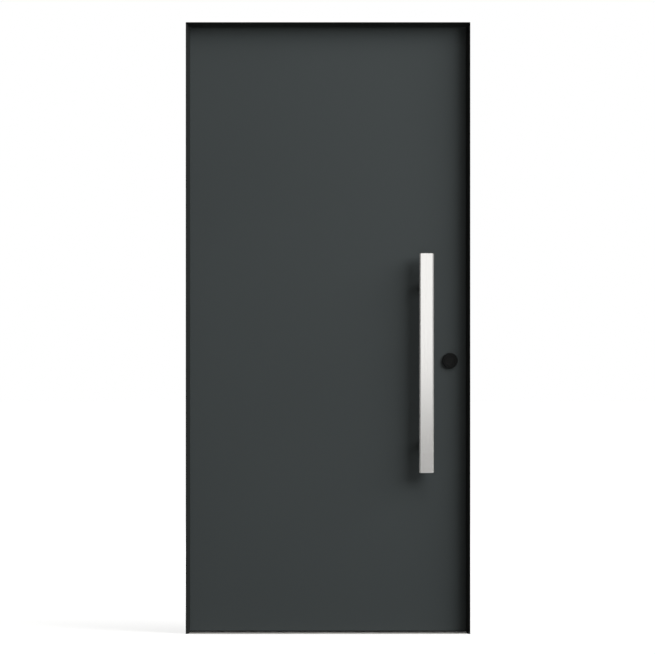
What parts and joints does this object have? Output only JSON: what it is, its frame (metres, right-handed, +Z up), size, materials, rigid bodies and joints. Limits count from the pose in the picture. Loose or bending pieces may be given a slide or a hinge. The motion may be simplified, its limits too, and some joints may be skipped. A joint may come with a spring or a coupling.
{
  "type": "security door",
  "caption": "Flat steel security door in a slim frame, opening inwards, with a vertical pull bar, a guarded cylinder, multi-point lock edge and lift-off hinges.",
  "frame": {"origin": "on the flat underside of the threshold, in the middle of the frame's width and depth", "axes": "+Z up along the door's height, +X towards the lock side, +Y from the outside to the inside of the building"},
  "size_m": [1, 0.169, 2.15],
  "materials": {
    "frame_paint": "satin black paint",
    "panel_coat": "smooth matt anthracite coating",
    "edge_paint": "satin anthracite paint",
    "hinge_paint": "satin anthracite paint",
    "core_fill": "dense mineral fill, hidden",
    "handle_steel": "fine brushed stainless",
    "bolt_steel": "ground steel",
    "lock_zinc": "bright zinc plate",
    "sill_metal": "natural anodised",
    "seal_rubber": "black extruded rubber",
    "black_fitting": "satin black"
  },
  "bodies": {
    "frame": {"hinge_jamb": "frame_paint", "lock_jamb": "frame_paint", "frame_head": "frame_paint", "hinge_stop": "frame_paint", "lock_stop": "frame_paint", "head_stop": "frame_paint", "threshold": "sill_metal", "seal_hinge_side": "seal_rubber", "seal_lock_side": "seal_rubber", "seal_head": "seal_rubber", "strike_lower": "lock_zinc", "strike_main": "lock_zinc", "strike_upper": "lock_zinc", "hinge_frame_half_lower": "hinge_paint", "hinge_frame_half_middle": "hinge_paint", "hinge_frame_half_upper": "hinge_paint"},
    "leaf": {"outer_panel": "panel_coat", "inner_panel": "panel_coat", "leaf_core": "core_fill", "leaf_edge_hinge": "edge_paint", "leaf_edge_lock": "edge_paint", "leaf_edge_top": "edge_paint", "leaf_edge_bottom": "edge_paint", "drop_seal_channel": "sill_metal", "drop_seal_lip": "seal_rubber", "lock_faceplate": "lock_zinc", "lower_bolts": "bolt_steel", "main_bolts": "bolt_steel", "upper_bolts": "bolt_steel", "latch_bolt": "bolt_steel", "dog_bolt_strip": "lock_zinc", "hinge_leaf_half_lower": "hinge_paint", "hinge_leaf_half_middle": "hinge_paint", "hinge_leaf_half_upper": "hinge_paint", "pull_bar": "handle_steel", "pull_post_lower": "handle_steel", "pull_post_upper": "handle_steel", "cylinder_guard": "black_fitting", "cylinder_cover": "black_fitting", "lever_rose": "handle_steel", "inner_lever": "handle_steel", "cylinder_rose": "handle_steel", "thumb_turn": "handle_steel"}
  },
  "joints": [
    {"name": "leaf_swing", "type": "hinge", "parent": "frame", "child": "leaf", "pos_m": [-0.4893, 0.0675, 1.075], "axis": [0, 0, 1], "range_deg": [0, 110]}
  ]
}
